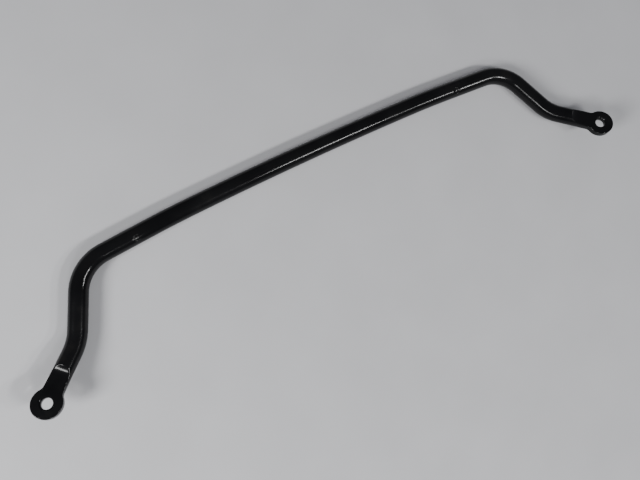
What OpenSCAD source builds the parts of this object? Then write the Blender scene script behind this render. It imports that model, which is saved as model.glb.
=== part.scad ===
// Sway bar of a car suspension: one round spring-steel bar, cold bent and forged at both ends.
//
// The bar lies flat with its long middle stretch along X, its two arms toward -Y and +Z up.
// The origin is the middle of the bar's box, on the surface that it lies on. The two halves
// mirror each other across X = 0, except for the places of the pressed marks. The stretches
// between the forming steps are separate solids that meet face to face, because a plain tube, an
// arc or a drilled eye is each a simple shape.
// Each half follows the bending schedule, from the middle outward: bow, shoulder set, straight
// bush seat, main bend, arm, elbow, end bar, flattened neck and eye.

/* [Bar] */
// Diameter of the round bar
bar_d = 25; // [18:0.5:32]
// Radius of the long bow in the middle of the bar
bow_r = 6800; // [3000:50:20000]
// Half of the bow's length
bow_half = 174; // [100:1:260]
// Radius of the slight set between the bow and the bush seat
shoulder_r = 1600; // [600:10:4000]
// Angle of the slight set, degrees
shoulder_a = 2.25; // [0.5:0.05:6]
// Length of the straight seat for the chassis bush
seat_len = 64; // [50:1:90]

/* [Arms] */
// Radius of the main bend, to the bar's middle line
bend_r = 59; // [45:1:90]
// Angle of the main bend, degrees
bend_a = 60; // [30:0.5:85]
// Straight length of the arm between the two bends
arm_len = 47; // [20:1:120]
// Radius of the elbow that turns the end outward
elbow_r = 67; // [45:1:110]
// Angle of the elbow, degrees
elbow_a = 26.5; // [10:0.5:45]
// Turn of the elbow's plane that lifts the end, degrees
elbow_roll = 36; // [0:0.5:60]
// Round length between the elbow and the flattened neck
end_bar_len = 15.5; // [8:0.5:60]

/* [Eye] */
// Outside diameter of the forged eye
eye_d = 38; // [32:0.5:50]
// Thickness of the eye across its flat faces
eye_t = 9.5; // [8:0.5:14]
// Diameter of the hole for the link's bolt
hole_d = 14; // [10:0.5:18]
// Width of the chamfer at both ends of the hole
hole_chamfer = 2; // [0.5:0.25:3]
// Turn of the eye's faces about the end of the bar, degrees
eye_twist = 5; // [0:0.5:40]

/* [Neck] */
// Length from the eye's middle to the step where the bar is round again
neck_len = 48; // [36:0.5:70]
// Thickness of the neck at the foot of the step
neck_t = 12; // [10:0.5:20]
// Radius of the hollow at the foot of the step
step_r = 18; // [6:0.5:24]

/* [Bush marks] */
// Distance of the left mark from the start of its main bend
left_mark = 45.5; // [20:0.5:60]
// Distance of the right mark from the start of its main bend
right_mark = 55.5; // [20:0.5:60]
// Radius of the ball that presses the mark
mark_ball_r = 8; // [4:0.5:12]
// Depth of the mark
mark_depth = 1.2; // [0.3:0.1:1.5]
// Turn of the mark from the top of the bar toward the arms, degrees
mark_turn = 25; // [0:1:90]

/* [Hidden] */
HALF_NODES = ["shoulder", "bush_seat", "main_bend", "arm", "elbow", "end_bar", "neck", "eye"];

around = 96;                                 // steps around every circle
$fn = around;
arc_steps = 24;                              // steps along every arc, however slight
bar_r = bar_d / 2;
steel = [0.05, 0.05, 0.055];
steps = 18;                                  // points along the hollow of the step
collar = 1;                                  // length of the neck that stays round
cut = 60;                                    // reach of a cutting block beyond the bar
touch = 0.01;                                // how far a cutting tool runs past a face

// Turn of the middle line from X at the end of each stretch, degrees toward -Y.
bow_a = bow_half / bow_r * 180 / PI;
seat_a = bow_a + shoulder_a;
arm_a = seat_a + bend_a;

// Points of the middle line: an arc of radius r turns the heading from h to h + a.
function arc_end(p, h, r, a) = p + r * [sin(h + a) - sin(h), cos(h + a) - cos(h)];
function straight_end(p, h, l) = p + l * [cos(h), -sin(h)];
bow_end = arc_end([0, 0], 0, bow_r, bow_a);
shoulder_end = arc_end(bow_end, bow_a, shoulder_r, shoulder_a);
seat_end = straight_end(shoulder_end, seat_a, seat_len);
bend_end = arc_end(seat_end, seat_a, bend_r, bend_a);
arm_end = straight_end(bend_end, arm_a, arm_len);

// Reach of the whole bar toward -Y and +Y, which centres its box on the origin.
end_a = arm_a - atan(tan(elbow_a) * cos(elbow_roll));
end_rise = asin(sin(elbow_a) * sin(elbow_roll));
end_run = (end_bar_len + neck_len) * cos(end_rise);
elbow_run = elbow_r * [sin(elbow_a), (1 - cos(elbow_a)) * cos(elbow_roll)];
eye_y = arm_end[1] - elbow_run[0] * sin(arm_a) + elbow_run[1] * cos(arm_a)
        - end_run * sin(end_a);

// Y part of the hole's direction, and the tilted eye's half extent along Y.
lean = elbow_roll + eye_twist;
lean_y = cos(elbow_a) * sin(lean) * cos(elbow_roll) - cos(lean) * sin(elbow_roll);
hole_y = sin(elbow_a) * sin(lean) * sin(arm_a) + lean_y * cos(arm_a);
eye_reach = eye_d / 2 * sqrt(1 - hole_y * hole_y) + eye_t / 2 * abs(hole_y);
mid_y = (bar_r + eye_y - eye_reach) / 2;

// One side of the bar: the right half as drawn, the left half mirrored.
module side(left) {
  mirror([left ? 1 : 0, 0, 0]) children();
}

// A frame on the middle line: X runs outward along the bar, Z is up.
module on_line(p, h) {
  translate([p[0], p[1] - mid_y, bar_r]) rotate([0, 0, -h]) children();
}

// The frame at the end of the arm, rolled so that the elbow's plane lies flat in it.
module at_elbow() {
  on_line(arm_end, arm_a) rotate([elbow_roll, 0, 0]) children();
}

// The frame at the far end of the elbow, rolled back by the same turn.
module at_end() {
  at_elbow()
    translate([elbow_r * sin(elbow_a), elbow_r * (1 - cos(elbow_a)), 0])
      rotate([0, 0, elbow_a]) rotate([-elbow_roll, 0, 0]) children();
}

// The frame in the middle of the eye, with Z along the hole.
module at_eye() {
  at_end() translate([end_bar_len + neck_len, 0, 0]) rotate([-eye_twist, 0, 0]) children();
}

// A straight round stretch along X.
module rod(l) {
  rotate([0, 90, 0]) cylinder(r = bar_r, h = l);
}

// A round arc that leaves the origin along X and turns toward -Y.
module arc(r, a) {
  translate([0, -r, 0]) rotate([0, 0, 90 - a])
    rotate_extrude(angle = a, $fn = arc_steps * 360 / a)
      translate([r, 0]) circle(r = bar_r, $fn = around);
}

// The bow runs from its left end to its right end as a single arc.
module centre_bar() {
  color(steel) on_line([-bow_end[0], bow_end[1]], -bow_a) arc(bow_r, 2 * bow_a);
}

module shoulder(left) {
  color(steel) side(left) on_line(bow_end, bow_a) arc(shoulder_r, shoulder_a);
}

// The seat has a shallow round mark that a ball-ended punch leaves.
module bush_seat(left) {
  color(steel) side(left) on_line(shoulder_end, seat_a) difference() {
    rod(seat_len);
    rotate([mark_turn, 0, 0])
      translate([seat_len - (left ? left_mark : right_mark), 0,
                 bar_r + mark_ball_r - mark_depth])
        sphere(r = mark_ball_r);
  }
}

module main_bend(left) {
  color(steel) side(left) on_line(seat_end, seat_a) arc(bend_r, bend_a);
}

module arm(left) {
  color(steel) side(left) on_line(bend_end, arm_a) rod(arm_len);
}

module elbow(left) {
  color(steel) side(left) at_elbow() mirror([0, 1, 0]) arc(elbow_r, elbow_a);
}

module end_bar(left) {
  color(steel) side(left) at_end() rod(end_bar_len);
}

// Side view of one pressed face, from the step down to the eye: the block that is cut away.
// The face falls from neck_t at the step to eye_t at the eye, and a hollow leads into it.
// The hollow reaches the top of the round bar a little way inside the neck.
step_h = bar_r - neck_t / 2;
step_run = sqrt(2 * step_r * step_h - step_h * step_h);
face_start = [step_run + collar - neck_len, neck_t / 2];
function hollow(i) = step_r * [-sin(90 * i / steps), 1 - cos(90 * i / steps)];
module pressed_face() {
  foot = [for (i = [0:steps]) face_start + hollow(i)];
  polygon(concat([[cut, eye_t / 2], [-eye_d / 2, eye_t / 2]], foot,
                 [[foot[steps][0], cut], [cut, cut]]));
}

module neck(left) {
  color(steel) side(left) at_eye() difference() {
    translate([-neck_len, 0, 0]) rod(neck_len);
    for (face = [0, 1])
      mirror([0, 0, face]) rotate([90, 0, 0])
        linear_extrude(height = 2 * cut, center = true) pressed_face();
    cylinder(r = eye_d / 2, h = 2 * cut, center = true);
  }
}

module eye(left) {
  color(steel) side(left) at_eye() difference() {
    cylinder(r = eye_d / 2, h = eye_t, center = true);
    cylinder(r = hole_d / 2, h = eye_t + 1, center = true);
    for (face = [0, 1])
      mirror([0, 0, face]) translate([0, 0, eye_t / 2 - hole_chamfer])
        cylinder(r1 = hole_d / 2, r2 = hole_d / 2 + hole_chamfer + touch,
                 h = hole_chamfer + touch);
  }
}

centre_bar();
shoulder(true);  // left_shoulder
bush_seat(true);  // left_bush_seat
main_bend(true);  // left_main_bend
arm(true);  // left_arm
elbow(true);  // left_elbow
end_bar(true);  // left_end_bar
neck(true);  // left_neck
eye(true);  // left_eye
shoulder(false);  // right_shoulder
bush_seat(false);  // right_bush_seat
main_bend(false);  // right_main_bend
arm(false);  // right_arm
elbow(false);  // right_elbow
end_bar(false);  // right_end_bar
neck(false);  // right_neck
eye(false);  // right_eye
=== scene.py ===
# %% [markdown]
# # A sway bar, from one bent and forged steel rod
# A sway bar ties the left and right wheels of an axle together. It is a single round spring-steel
# rod: cold bent to pass under the car, flattened and pierced at both ends for the drop links, and
# painted black all over. There are no loose pieces on it and nothing on it turns or slides.
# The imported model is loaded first. It already holds the true sizes, and everything made here sits
# in the same place and the same metres.

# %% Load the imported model
import math

import bmesh
import bpy
import numpy as np
from mathutils import Matrix, Vector


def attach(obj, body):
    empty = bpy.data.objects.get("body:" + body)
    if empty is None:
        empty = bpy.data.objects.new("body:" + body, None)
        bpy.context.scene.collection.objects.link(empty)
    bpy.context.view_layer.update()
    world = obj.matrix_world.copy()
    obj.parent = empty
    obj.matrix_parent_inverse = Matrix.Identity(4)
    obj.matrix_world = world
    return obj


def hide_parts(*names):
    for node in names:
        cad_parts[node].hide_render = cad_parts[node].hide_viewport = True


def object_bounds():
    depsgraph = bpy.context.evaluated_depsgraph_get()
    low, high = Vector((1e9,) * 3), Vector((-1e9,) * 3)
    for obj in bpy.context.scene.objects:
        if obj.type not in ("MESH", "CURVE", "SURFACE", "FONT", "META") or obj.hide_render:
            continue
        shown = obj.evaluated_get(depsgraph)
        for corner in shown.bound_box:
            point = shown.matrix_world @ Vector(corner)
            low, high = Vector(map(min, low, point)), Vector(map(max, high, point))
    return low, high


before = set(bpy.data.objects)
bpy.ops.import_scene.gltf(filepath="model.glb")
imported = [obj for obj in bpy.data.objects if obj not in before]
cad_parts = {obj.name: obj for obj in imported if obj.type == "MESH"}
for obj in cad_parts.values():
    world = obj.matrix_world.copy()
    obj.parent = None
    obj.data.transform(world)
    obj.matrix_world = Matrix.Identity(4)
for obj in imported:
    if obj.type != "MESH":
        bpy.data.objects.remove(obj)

cad_box = [list(map(float, corner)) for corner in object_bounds()]
mm = 0.001
print("sway bar box, mm:", [round((high - low) / mm, 1) for low, high in zip(*cad_box)])

# %% [markdown]
# ## The bending schedule
# A bender's work card gives a bar as lengths, radii and angles, from the middle outward, and the
# same card is used here. Reading points off a drawing would also work, but then two neighbouring
# bends could disagree by a degree and the bar would show a kink. The card can't do that.

# %% Sizes on the work card, and of the forged end
BAR_R = 12.5 * mm
BOW_R, BOW_HALF = 6800 * mm, 174 * mm
SHOULDER_R, SHOULDER_TURN = 1600 * mm, math.radians(2.25)
SEAT = 64 * mm
BEND_R, BEND_TURN = 59 * mm, math.radians(60)
ARM = 47 * mm
ELBOW_R, ELBOW_TURN, ELBOW_ROLL = 67 * mm, math.radians(26.5), math.radians(36)
END_BAR = 15.5 * mm

NECK = 48 * mm
NECK_HALF, EYE_HALF = 6 * mm, 4.75 * mm
STEP_R, COLLAR = 18 * mm, 1 * mm
STEP_FOOT = COLLAR - NECK + math.sqrt(STEP_R ** 2 - (STEP_R - BAR_R + NECK_HALF) ** 2)
EYE_R, EYE_TWIST = 19 * mm, math.radians(5)
HOLE_R, CHAMFER = 7 * mm, 2 * mm
WEB_R = 8 * mm
EDGE_R = 1.3 * mm

BOW_TURN = BOW_HALF / BOW_R
SEAT_HEADING = BOW_TURN + SHOULDER_TURN
ARM_HEADING = SEAT_HEADING + BEND_TURN
print("arm turns", round(math.degrees(ARM_HEADING), 2), "degrees from the bar")

# %% [markdown]
# ## Where each stretch starts
# Each stretch is made lying along its own X axis and then put in its place by a matrix. Chaining
# matrices is how the forge's fixture works too: each stop is set from the one before it. The
# height of the middle line is the bar's radius, because the bar lies on the ground. The packed
# model's box gives the last number: the back of the bow touches the box's far side.

# %% Frames along the bar
def place(point, heading=0.0):
    """A frame at a point, turned about Z so that its X axis looks along the heading."""
    return Matrix.Translation(Vector(point)) @ Matrix.Rotation(-heading, 4, "Z")


def arc_step(radius, turn):
    """From the start to the end of an arc that turns toward -Y: sideways by r(1 - cos)."""
    drop = radius * (1 - math.cos(turn))
    return place((radius * math.sin(turn), -drop, 0), turn)


def along(length):
    """A move straight ahead."""
    return Matrix.Translation((length, 0, 0))


middle_y = cad_box[1][1] - BAR_R
at_bow = place((0, middle_y, BAR_R))
at_shoulder = at_bow @ arc_step(BOW_R, BOW_TURN)
at_seat = at_shoulder @ arc_step(SHOULDER_R, SHOULDER_TURN)
at_bend = at_seat @ along(SEAT)
at_arm = at_bend @ arc_step(BEND_R, BEND_TURN)
at_elbow = at_arm @ along(ARM) @ Matrix.Rotation(ELBOW_ROLL, 4, "X")
elbow_side = ELBOW_R * (1 - math.cos(ELBOW_TURN))
at_end = (at_elbow @ place((ELBOW_R * math.sin(ELBOW_TURN), elbow_side, 0), -ELBOW_TURN)
          @ Matrix.Rotation(-ELBOW_ROLL, 4, "X"))
at_eye = at_end @ along(END_BAR + NECK) @ Matrix.Rotation(-EYE_TWIST, 4, "X")
print("right eye, mm:", [round(v / mm, 1) for v in at_eye.translation])

# %% [markdown]
# ## From a grid of points to a solid
# Every stretch is a grid: one row of points for each ring, worked out as whole arrays. The rows
# are joined by four-sided faces, and the two end rings are closed with a flat cap, so each
# stretch is a solid piece of steel that meets its neighbours face to face. A curve object with
# a round bevel would make the plain tube, but not the flattened ends or the punched mark.

# %% Grid to mesh
def grid_faces(rows, columns, close_rows=False):
    """Faces of a grid whose columns close round: point (i, j) has the number i * columns + j."""
    i, j = np.meshgrid(np.arange(rows if close_rows else rows - 1), np.arange(columns),
                       indexing="ij")
    next_i, next_j = (i + 1) % rows, (j + 1) % columns
    corners = [i * columns + j, i * columns + next_j, next_i * columns + next_j,
               next_i * columns + j]
    return np.stack(corners, axis=-1).reshape(-1, 4)


MERGE_WITHIN = 0.0005 * mm
SHARP_FROM = math.radians(38)


def steel_piece(name, grid, matrix, ring_of_rings=False):
    """A closed mesh from a (rings, around, 3) grid, carried to its place by the matrix. In a ring
    of rings the last ring joins the first, so that there are no ends to cap."""
    rings, around = grid.shape[:2]
    turned = np.array(matrix)
    points = grid.reshape(-1, 3) @ turned[:3, :3].T + turned[:3, 3]
    faces = grid_faces(rings, around, ring_of_rings).tolist()
    if not ring_of_rings:
        faces += [list(range(around)), list(range((rings - 1) * around, rings * around))]
    mesh = bpy.data.meshes.new(name)
    mesh.from_pydata(points.tolist(), [], faces)
    shell = bmesh.new()
    shell.from_mesh(mesh)
    bmesh.ops.remove_doubles(shell, verts=shell.verts, dist=MERGE_WITHIN)
    bmesh.ops.recalc_face_normals(shell, faces=shell.faces)
    shell.to_mesh(mesh)
    volume = shell.calc_volume(signed=True)
    shell.free()
    mesh.shade_smooth()
    mesh.set_sharp_from_angle(angle=SHARP_FROM)
    piece = bpy.data.objects.new(name, mesh)
    bpy.context.scene.collection.objects.link(piece)
    print(f"{name}: {len(mesh.polygons)} faces, {volume / mm ** 3:.0f} mm3")
    return piece


# %% [markdown]
# ## Round stretches
# A straight stretch is a circle carried along X. A bend is the same circle carried round a far
# centre: the point of the circle that faces away from the centre travels the longest way. The
# rings are about a millimetre apart in the bends, so that the long highlight runs through them
# without a corner.

# %% Round profiles
AROUND = 144
turn_round = np.linspace(0, 2 * np.pi, AROUND, endpoint=False)


def straight(length, rings):
    """Circle of the bar's radius r at evenly spaced x: (x, r cos a, r sin a)."""
    x = np.linspace(0, length, rings)[:, None] + 0 * turn_round
    y = BAR_R * np.cos(turn_round) + 0 * x
    return np.stack([x, y, BAR_R * np.sin(turn_round) + 0 * x], axis=-1)


def bent(radius, turn, rings, toward=-1):
    """Circle carried round a centre at distance R: ((R + r cos a) sin t, (R + r cos a) cos t - R,
    r sin a), with y turned over for a bend toward +Y."""
    t = np.linspace(0, turn, rings)[:, None]
    reach = radius + BAR_R * np.cos(turn_round)
    x, y = reach * np.sin(t), radius - reach * np.cos(t)
    return np.stack([x, toward * y, BAR_R * np.sin(turn_round) + 0 * t], axis=-1)


print(AROUND, "points round the bar,", round(2 * math.pi * BAR_R / AROUND / mm, 2), "mm apart")

# %% [markdown]
# ## The mark at the bush seat
# Beside each main bend the top of the bar has a small round mark, made by a ball-ended punch
# when the bar is checked in its fixture. The ball leaves a hollow and pushes up a low lip round
# it. Both move the surface straight in or out, so the mark is a change of radius on the seat's
# own grid, and the rings are close together there. The left mark is nearer its bend than the
# right one.

# %% Bush seat with its punched mark
LEFT_MARK, RIGHT_MARK, MARK_TURN = 45.5 * mm, 55.5 * mm, math.radians(25)
BALL_R, MARK_DEPTH = 8 * mm, 1.2 * mm
RIM_R = math.sqrt(BALL_R ** 2 - (BALL_R - MARK_DEPTH) ** 2)
LIP_H, LIP_W = 0.18 * mm, 1.1 * mm


def punched_seat(mark_from_bend, rings=150):
    """Straight stretch whose radius falls by sqrt(R^2 - d^2) - (R - depth) inside the mark and
    rises by a bell-shaped lip at its rim; d is the distance from the mark along the surface."""
    grid = straight(SEAT, rings)
    around_way = BAR_R * (turn_round - (np.pi / 2 + MARK_TURN))
    d = np.hypot(grid[..., 0] - (SEAT - mark_from_bend), around_way)
    ball = np.sqrt(np.maximum(BALL_R ** 2 - d ** 2, 0)) - (BALL_R - MARK_DEPTH)
    lip = LIP_H * np.exp(-((d - RIM_R - LIP_W / 2) / LIP_W) ** 2)
    scale = 1 - (np.maximum(ball, 0) - lip) / BAR_R
    grid[..., 1:] *= scale[..., None]
    return grid


print("marks", round(2 * RIM_R / mm, 1), "mm across and", round(MARK_DEPTH / mm, 1), "mm deep")

# %% [markdown]
# ## The flattened neck
# The end is heated and pressed between two dies. The dies leave two flats and a hollow step
# where the bar becomes round again, and the bar's own round sides stay between the flats. So
# the section is the circle with everything above the flat pressed down to it, and with a small
# radius where the flat meets the side. It is one formula from the round bar to the eye. Along
# the way the half thickness changes, and near the eye the round sides turn upright.

# %% Section of the pressed end
ROUND_SIDES_FROM, SIDES_FADE_OVER = -14 * mm, 26 * mm
PAST_STEP = 2 * mm


def half_thickness(x):
    """Thin at the eye, a slow taper along the neck, then the hollow arc of the step."""
    taper = np.interp(x, [STEP_FOOT, -EYE_R], [NECK_HALF, EYE_HALF])
    into = np.maximum((STEP_FOOT - x) / STEP_R, 0)
    return taper + STEP_R * (1 - np.sqrt(1 - into ** 2))


def side_offset(x, z):
    """How far the side stands in from the widest line: the round bar's own curve, fading out
    toward the eye, whose wall is upright."""
    roundness = np.clip((ROUND_SIDES_FROM - x) / SIDES_FADE_OVER, 0, 1)
    roundness = roundness * roundness * (3 - 2 * roundness)
    return roundness * (BAR_R - np.sqrt(np.maximum(BAR_R ** 2 - z ** 2, 0)))


def neck_grid():
    """Rings in the eye's own frame, closer together at the step. q = r |sin a| climbs the side;
    past the edge's quarter circle it runs across the flat, where y shrinks with |cos a|."""
    x = np.concatenate([np.linspace(-NECK, STEP_FOOT + PAST_STEP, num=60),
                        np.linspace(STEP_FOOT + PAST_STEP, -EYE_R, num=30)[1:]])[:, None]
    t = half_thickness(x)
    q = BAR_R * np.abs(np.sin(turn_round))[None, :]
    edge = np.clip((q - (t - EDGE_R)) / EDGE_R, 0, np.pi / 2)
    z = np.where(q < t - EDGE_R, q, t - EDGE_R + EDGE_R * np.sin(edge))
    inward = side_offset(x, z) + EDGE_R * (1 - np.cos(edge))
    over = np.minimum((t - EDGE_R + EDGE_R * np.pi / 2) / BAR_R, 1)
    flat = np.sqrt(np.maximum(1 - over ** 2, 1e-9))
    across = np.where(q > over * BAR_R, np.abs(np.cos(turn_round)) / flat, 1)
    y = np.sign(np.cos(turn_round)) * (BAR_R - inward) * np.minimum(across, 1)
    return np.stack([x + 0 * z, y, np.sign(np.sin(turn_round)) * z], axis=-1)


print("the step's foot is", round(-STEP_FOOT / mm, 1), "mm from the middle of the eye")

# %% [markdown]
# ## The eye
# The eye is a flat ring with an upright wall, and the web between it and the neck has a small
# radius. A disc with a hole cut by a boolean would do, but the cut leaves long thin triangles
# that catch the light. Here the ring is one closed grid: going round it follows the outline,
# and across it goes up the outer wall, over the rounded edge, in along the flat, down the
# chamfer and the bore, and back under the other flat.

# %% Outline of the eye in plan
WEB_Y = BAR_R + WEB_R
WEB_X = -math.sqrt((EYE_R + WEB_R) ** 2 - WEB_Y ** 2)


def eye_outline():
    """Points of the outline and the unit direction into the metal, as rows (x, y, nx, ny): the
    neck's side, the web's hollow arc round (WEB_X, WEB_Y), the disc, and the same mirrored back."""
    arc = np.linspace(0, math.atan2(-WEB_X, WEB_Y), num=18)[1:]
    disc = np.linspace(math.atan2(WEB_Y, WEB_X), 0, num=64)[1:]
    side = np.linspace(-EYE_R, WEB_X, num=4)
    x = np.concatenate([side, WEB_X + WEB_R * np.sin(arc), EYE_R * np.cos(disc)])
    y = np.concatenate([0 * side + BAR_R, WEB_Y - WEB_R * np.cos(arc), EYE_R * np.sin(disc)])
    into_x = np.concatenate([0 * side, np.sin(arc), -np.cos(disc)])
    into_y = np.concatenate([0 * side - 1, -np.cos(arc), -np.sin(disc)])
    half = np.stack([x, y, into_x, into_y], axis=-1)
    return np.concatenate([half, half[-2::-1] * [1, -1, 1, -1]])


print("the web's arc is round", round(WEB_X / mm, 1), round(WEB_Y / mm, 1), "mm in the eye's frame")

# %% Grid of the eye
CHAMFER_BULGE = 1.25
BORE_BAND = 1.5 * mm


def eye_grid():
    """Rows follow the outline and the joint with the neck; columns go round the ring's section.
    The outer columns move in along the outline's normal, the rest blend straight from the edge
    to the hole's rim. The chamfer's radius falls as (1 - s)^1.25, so it bulges very slightly."""
    outline = eye_outline()
    share = np.linspace(-1, 1, num=26)[1:-1]
    joint = np.stack([0 * share - EYE_R, 0 * share, 0 * share, 0 * share], axis=-1)
    rows = np.concatenate([outline, joint])
    part_y = np.concatenate([np.ones(len(outline)), share])
    on_joint = np.concatenate([np.zeros(len(outline)), np.ones(len(share))])[:, None]

    wall = np.linspace(0, EYE_HALF - EDGE_R, num=5)
    edge = np.linspace(0, np.pi / 2, num=8)[1:]
    z_out = np.concatenate([wall, EYE_HALF - EDGE_R + EDGE_R * np.sin(edge)])
    move = np.concatenate([0 * wall, EDGE_R * (1 - np.cos(edge))])
    move = move + side_offset(rows[:, :1], z_out)
    px = rows[:, :1] + move * rows[:, 2:3]
    py = rows[:, 1:2] + move * rows[:, 3:4]
    joint_y = part_y[:, None] * (BAR_R - move)
    py = np.where(on_joint > 0, joint_y, py)

    rim_r = HOLE_R + CHAMFER
    toward = np.arctan2(py[:, -1:], px[:, -1:])
    blend = np.linspace(0, 1, num=10)[1:-1]
    reach = np.hypot(px[:, -1:], py[:, -1:])
    flat_r = reach + (rim_r - reach) * blend
    slope = np.linspace(0, 1, num=5)
    chamfer_r = HOLE_R + CHAMFER * (1 - slope) ** CHAMFER_BULGE
    chamfer_z = EYE_HALF - CHAMFER * slope
    inner_r = np.concatenate([chamfer_r, [HOLE_R, HOLE_R]])
    inner_z = np.concatenate([chamfer_z, [BORE_BAND, 0]])
    ring_r = np.concatenate([flat_r, inner_r + 0 * reach], axis=1)
    ring_z = np.concatenate([0 * blend + EYE_HALF, inner_z])

    top_x = np.concatenate([px, ring_r * np.cos(toward)], axis=1)
    top_y = np.concatenate([py, ring_r * np.sin(toward)], axis=1)
    top_z = np.concatenate([z_out, ring_z]) + 0 * top_x
    under = slice(-2, 0, -1)
    x = np.concatenate([top_x, top_x[:, under]], axis=1)
    y = np.concatenate([top_y, top_y[:, under]], axis=1)
    return np.stack([x, y, np.concatenate([top_z, -top_z[:, under]], axis=1)], axis=-1)


# %% [markdown]
# ## Making the bar
# The middle bow is one piece across both sides. Each other stretch is worked out as it lies on
# the right side, and a mirror matrix carries it to the left. That turns the mesh inside out, so
# the maker function works out the outward side again for every piece.

# %% Build every stretch
def half_bar(mark_from_bend):
    """The stretches of one half, from the bow outward: grid, frame, and whether the grid is a
    ring of rings."""
    return {
        "shoulder": (bent(SHOULDER_R, SHOULDER_TURN, rings=30), at_shoulder, False),
        "bush_seat": (punched_seat(mark_from_bend), at_seat, False),
        "main_bend": (bent(BEND_R, BEND_TURN, rings=70), at_bend, False),
        "arm": (straight(ARM, rings=24), at_arm, False),
        "elbow": (bent(ELBOW_R, ELBOW_TURN, rings=36, toward=1), at_elbow, False),
        "end_bar": (straight(END_BAR, rings=12), at_end, False),
        "neck": (neck_grid(), at_eye, False),
        "eye": (eye_grid(), at_eye, True),
    }


mirror_x = Matrix.Scale(-1, 4, (1, 0, 0))
halves = {"left": (half_bar(LEFT_MARK), mirror_x),
          "right": (half_bar(RIGHT_MARK), Matrix.Identity(4))}
left_bow_end = mirror_x @ at_shoulder @ mirror_x
bow = bent(BOW_R, 2 * BOW_TURN, rings=150)
pieces = {"centre_bar": steel_piece("painted_centre_bar", bow, left_bow_end)}
for stretch in halves["left"][0]:
    for side, (half, mirrored) in halves.items():
        grid, at_start, ring_of_rings = half[stretch]
        node = f"{side}_{stretch}"
        pieces[node] = steel_piece("painted_" + node, grid, mirrored @ at_start, ring_of_rings)

# %% [markdown]
# ## Black chassis paint
# The bar is dipped or sprayed in black chassis enamel over hot-rolled steel. The coat is near
# black and fairly glossy. It follows the rolled skin beneath, so the gloss is broken by a fine
# pebbled texture and shallow pits, and a trace of dust settles on it.

# %% Helpers for materials
def srgb(hex_colour):
    """sRGB hex to the linear colour that a shader socket takes."""
    parts = [int(hex_colour[i:i + 2], 16) / 255 for i in (1, 3, 5)]
    linear = [p / 12.92 if p <= 0.04045 else ((p + 0.055) / 1.055) ** 2.4 for p in parts]
    return (*linear, 1.0)


def add(tree, kind, settings=None, values=None, links=None):
    """Adds a node, sets its properties and socket values, and links sockets into it."""
    node = tree.nodes.new(kind)
    for key, value in (settings or {}).items():
        setattr(node, key, value)
    for key, value in (values or {}).items():
        node.inputs[key].default_value = value
    for key, source in (links or {}).items():
        tree.links.new(source, node.inputs[key])
    return node


def new_material(name):
    """An empty node material with its output and Object coordinates."""
    material = bpy.data.materials.new(name)
    material.use_nodes = True
    tree = material.node_tree
    tree.nodes.clear()
    place_in_object = add(tree, "ShaderNodeTexCoord").outputs["Object"]
    return material, tree, place_in_object


def ramp(tree, source, stops):
    """A colour ramp over a 0 to 1 value; stops are (position, hex colour)."""
    node = add(tree, "ShaderNodeValToRGB", links={"Fac": source})
    elements = node.color_ramp.elements
    while len(elements) < len(stops):
        elements.new(0.5)
    for element, (position, colour) in zip(elements, stops):
        element.position = position
        element.color = srgb(colour)
    return node.outputs["Color"]


# %% Black chassis paint
# Patterns per metre: the skin's pebbles lie 1.6 mm apart, the pits 4.8 mm, the dust drifts 38 mm.
PEBBLES, PITS, DRIFTS = 620.0, 210.0, 26.0
SKIN_DEPTH = 0.12 * mm


def black_chassis_paint():
    """Near-black enamel over rolled scale: height = pebbles + 0.35 pits, and drifts of faint dust
    that make the coat a little paler and less glossy."""
    material, tree, where = new_material("black_chassis_enamel_on_rolled_steel")
    pebble = add(tree, "ShaderNodeTexNoise", values={"Scale": PEBBLES, "Detail": 3.0},
                 links={"Vector": where})
    drift = add(tree, "ShaderNodeTexNoise", values={"Scale": DRIFTS, "Detail": 4.0},
                links={"Vector": where})
    pits = add(tree, "ShaderNodeTexVoronoi", values={"Scale": PITS}, links={"Vector": where})
    pit_depth = add(tree, "ShaderNodeMapRange", values={"From Max": 0.22},
                    links={"Value": pits.outputs["Distance"]})
    height = add(tree, "ShaderNodeMath", {"operation": "MULTIPLY_ADD"}, values={1: 0.35},
                 links={0: pit_depth.outputs["Result"], 2: pebble.outputs["Fac"]})
    bump = add(tree, "ShaderNodeBump", values={"Strength": 0.3, "Distance": SKIN_DEPTH},
               links={"Height": height.outputs["Value"]})
    colour = ramp(tree, drift.outputs["Fac"], [(0.3, "#0A0A0B"), (0.62, "#101011"),
                                               (0.8, "#1B1A19")])
    gloss = add(tree, "ShaderNodeMapRange",
                values={"From Min": 0.3, "From Max": 0.7, "To Min": 0.1, "To Max": 0.18},
                links={"Value": drift.outputs["Fac"]})
    paint = add(tree, "ShaderNodeBsdfPrincipled",
                values={"IOR": 1.45, "Metallic": 0.0, "Specular IOR Level": 0.22},
                links={"Base Color": colour, "Roughness": gloss.outputs["Result"],
                       "Normal": bump.outputs["Normal"]})
    add(tree, "ShaderNodeOutputMaterial", links={"Surface": paint.outputs["BSDF"]})
    return material


paint = black_chassis_paint()
for node, piece in pieces.items():
    piece.data.materials.append(paint)
    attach(piece, "root")
    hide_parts(node)
print(len(pieces), "painted pieces ride on the bar")

# %% [markdown]
# ## The ground sheet
# The bar lies on a sheet of pale grey card. Card has no sheen, so its roughness is high, and its
# pressed fibres give it a very slight mottling, which keeps a large plain sheet from looking flat.

# %% Ground
MOTTLES = 9.0  # per metre, so 110 mm apart


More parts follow.
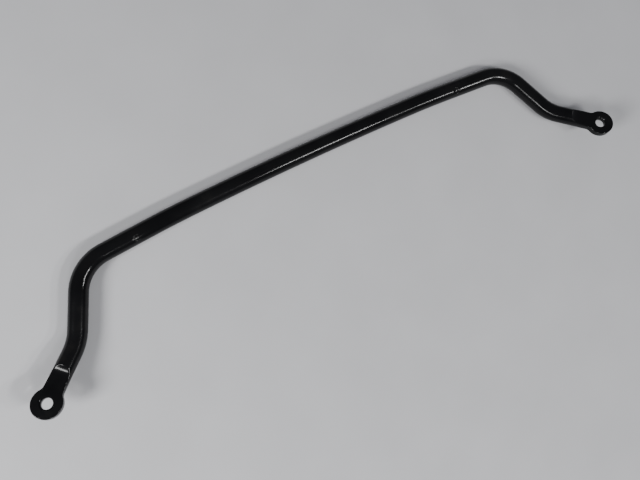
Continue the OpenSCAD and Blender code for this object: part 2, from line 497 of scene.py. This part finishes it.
def pale_card():
    """Matt grey card whose grey drifts slowly between two close values."""
    material, tree, where = new_material("pale_grey_matt_card")
    mottle = add(tree, "ShaderNodeTexNoise", values={"Scale": MOTTLES, "Detail": 5.0},
                 links={"Vector": where})
    colour = ramp(tree, mottle.outputs["Fac"], [(0.3, "#B6B6B8"), (0.7, "#BBBBBD")])
    card = add(tree, "ShaderNodeBsdfPrincipled", values={"Roughness": 0.75, "IOR": 1.45},
               links={"Base Color": colour})
    add(tree, "ShaderNodeOutputMaterial", links={"Surface": card.outputs["BSDF"]})
    return material


GROUND_HALF = 4.0
corners = np.array([[-1, -1, 0], [1, -1, 0], [1, 1, 0], [-1, 1, 0]]) * GROUND_HALF
ground_mesh = bpy.data.meshes.new("ground")
ground_mesh.from_pydata(corners.tolist(), [], [[0, 1, 2, 3]])
ground_mesh.materials.append(pale_card())
ground = bpy.data.objects.new("ground", ground_mesh)
bpy.context.scene.collection.objects.link(ground)
print("ground sheet", 2 * GROUND_HALF, "m wide")

# %% [markdown]
# ## Light and camera
# A soft lamp stands low at the bar's left end and throws the longer shadow. Two long narrow
# lamps stand in front of the bar, toward its right, and draw the thin highlight along it, and a
# small one draws the line on the right arm. The camera looks down from above the left half, with
# the frame's top turned toward the far right.

# %% Lamps
def soft_lamp(name, position, target, size, power):
    """A white rectangular lamp that faces a target; size is width and height in metres, and power
    is in watts."""
    data = bpy.data.lights.new(name, "AREA")
    data.shape = "RECTANGLE"
    data.size, data.size_y = size
    data.energy = power
    lamp = bpy.data.objects.new(name, data)
    beam = Vector(target) - Vector(position)
    facing = beam.to_track_quat("-Z", "Y").to_matrix().to_4x4()
    lamp.matrix_world = Matrix.Translation(position) @ facing
    bpy.context.scene.collection.objects.link(lamp)
    print(name, "shines from", round(beam.length, 2), "m with", power, "W")


soft_lamp("left_lamp", (-1.8, -0.1, 1.2), (-0.1, 0, 0), (0.6, 0.65), 46)
soft_lamp("near_lamp", (0.98, -1.9, 2.4), (0.2, 0, 0), (0.75, 0.2), 40)
soft_lamp("far_lamp", (2.0, -2.05, 2.4), (0.2, 0, 0), (0.5, 0.2), 30)
soft_lamp("small_lamp", (-0.57, -1.0, 1.2), (0, 0, 0), (0.25, 0.25), 5)

world = bpy.data.worlds.new("studio_air")
world.use_nodes = True
background = world.node_tree.nodes["Background"]
background.inputs["Color"].default_value = srgb("#C6C9D2")
background.inputs["Strength"].default_value = 0.3
bpy.context.scene.world = world

# %% Camera
CAMERA_AT = Vector((-0.2153, -0.0195, 0.8001))
CAMERA_AIM = Vector((-0.0345, -0.0412, 0.0))
FRAME_TOP = math.radians(63.30)
SENSOR_MM, LENS_MM = 36.0, 32.625
NEAREST = 10 * mm

lens = bpy.data.cameras.new("camera")
lens.sensor_width, lens.lens = SENSOR_MM, LENS_MM
lens.clip_start = NEAREST
camera = bpy.data.objects.new("camera", lens)
ahead = (CAMERA_AIM - CAMERA_AT).normalized()
top = Vector((math.cos(FRAME_TOP), math.sin(FRAME_TOP), 0))
up = (top - top.dot(ahead) * ahead).normalized()
right = ahead.cross(up)
turned = Matrix((right, up, -ahead)).transposed().to_4x4()
camera.matrix_world = Matrix.Translation(CAMERA_AT) @ turned
bpy.context.scene.collection.objects.link(camera)
bpy.context.scene.camera = camera
print("camera", round((CAMERA_AIM - CAMERA_AT).length, 2), "m from its aim, lens", LENS_MM, "mm")

# %% Update the scene, and the end
bpy.context.view_layer.update()
